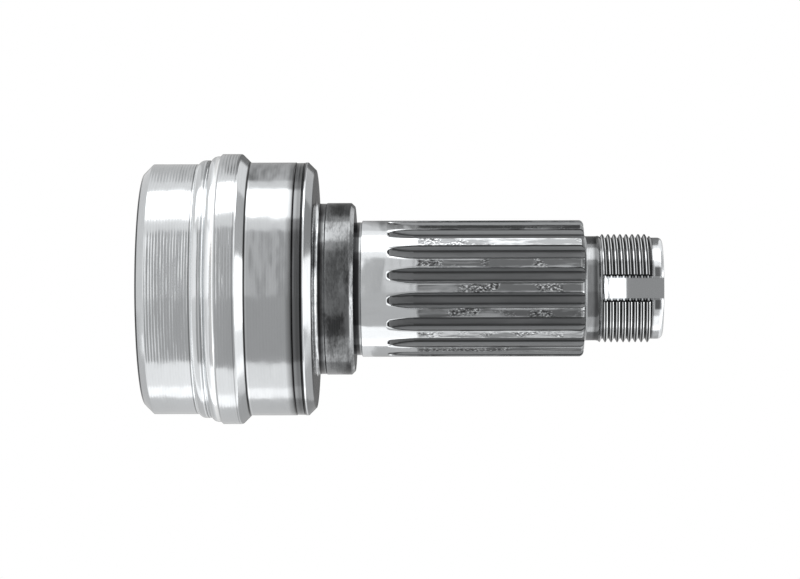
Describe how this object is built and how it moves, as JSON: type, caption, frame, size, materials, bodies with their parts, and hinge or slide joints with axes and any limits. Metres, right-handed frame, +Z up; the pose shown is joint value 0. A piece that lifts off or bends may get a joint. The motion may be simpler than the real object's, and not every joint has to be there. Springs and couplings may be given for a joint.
{
  "type": "outer constant-velocity joint",
  "caption": "Wheel-side fixed ball joint of a drive shaft: round steel bell with ball cage and inner race, and a splined stub shaft with a threaded, keyed end.",
  "frame": {"origin": "centre of the ball joint, where the shafts' axes cross, on the stub's axis", "axes": "+X along the stub shaft towards its threaded end, -X out of the bell's mouth, +Z up, keyway on -Y"},
  "size_m": [0.1289, 0.0674, 0.0674],
  "materials": {
    "race_steel": "fine-turned bright steel, ground seats, milled splines",
    "cage_steel": "dark hardened and phosphated steel",
    "star_steel": "hardened and ground steel",
    "ball_steel": "polished bearing steel",
    "ring_steel": "dark oiled spring steel"
  },
  "bodies": {
    "outer_race": {"outer_race": "race_steel"},
    "cage": {"cage": "cage_steel"},
    "inner_race": {"inner_race": "star_steel", "snap_ring": "ring_steel"},
    "ball_1": {"ball_1": "ball_steel"},
    "ball_2": {"ball_2": "ball_steel"},
    "ball_3": {"ball_3": "ball_steel"},
    "ball_4": {"ball_4": "ball_steel"},
    "ball_5": {"ball_5": "ball_steel"},
    "ball_6": {"ball_6": "ball_steel"}
  },
  "joints": [
    {"name": "articulation", "type": "hinge", "parent": "outer_race", "child": "inner_race", "pos_m": [0, 0, 0], "axis": [0, 0, 1], "range_deg": [-42, 42]},
    {"name": "cage_tilt", "type": "hinge", "parent": "outer_race", "child": "cage", "pos_m": [0, 0, 0], "axis": [0, 0, 1], "range_deg": [-21, 21]},
    {"name": "ball_1_roll", "type": "hinge", "parent": "outer_race", "child": "ball_1", "pos_m": [-0.0016, 0, 0], "axis": [0, 0, 1], "range_deg": [-21.5, 21.5]},
    {"name": "ball_2_roll", "type": "hinge", "parent": "outer_race", "child": "ball_2", "pos_m": [-0.0016, 0, 0], "axis": [0, -0.866, 0.5], "range_deg": [-11.31, 11.31]},
    {"name": "ball_3_roll", "type": "hinge", "parent": "outer_race", "child": "ball_3", "pos_m": [-0.0016, 0, 0], "axis": [0, -0.866, -0.5], "range_deg": [-11.31, 11.31]},
    {"name": "ball_4_roll", "type": "hinge", "parent": "outer_race", "child": "ball_4", "pos_m": [-0.0016, 0, 0], "axis": [0, 0, -1], "range_deg": [-21.5, 21.5]},
    {"name": "ball_5_roll", "type": "hinge", "parent": "outer_race", "child": "ball_5", "pos_m": [-0.0016, 0, 0], "axis": [0, 0.866, -0.5], "range_deg": [-11.31, 11.31]},
    {"name": "ball_6_roll", "type": "hinge", "parent": "outer_race", "child": "ball_6", "pos_m": [-0.0016, 0, 0], "axis": [0, 0.866, 0.5], "range_deg": [-11.31, 11.31]}
  ],
  "couplings": [
    {"joint": "cage_tilt", "follows": "articulation", "ratio": 0.5},
    {"joint": "ball_1_roll", "follows": "articulation", "ratio": 0.5},
    {"joint": "ball_2_roll", "follows": "articulation", "ratio": 0.2575},
    {"joint": "ball_3_roll", "follows": "articulation", "ratio": -0.2575},
    {"joint": "ball_4_roll", "follows": "articulation", "ratio": -0.5},
    {"joint": "ball_5_roll", "follows": "articulation", "ratio": -0.2575},
    {"joint": "ball_6_roll", "follows": "articulation", "ratio": 0.2575}
  ]
}
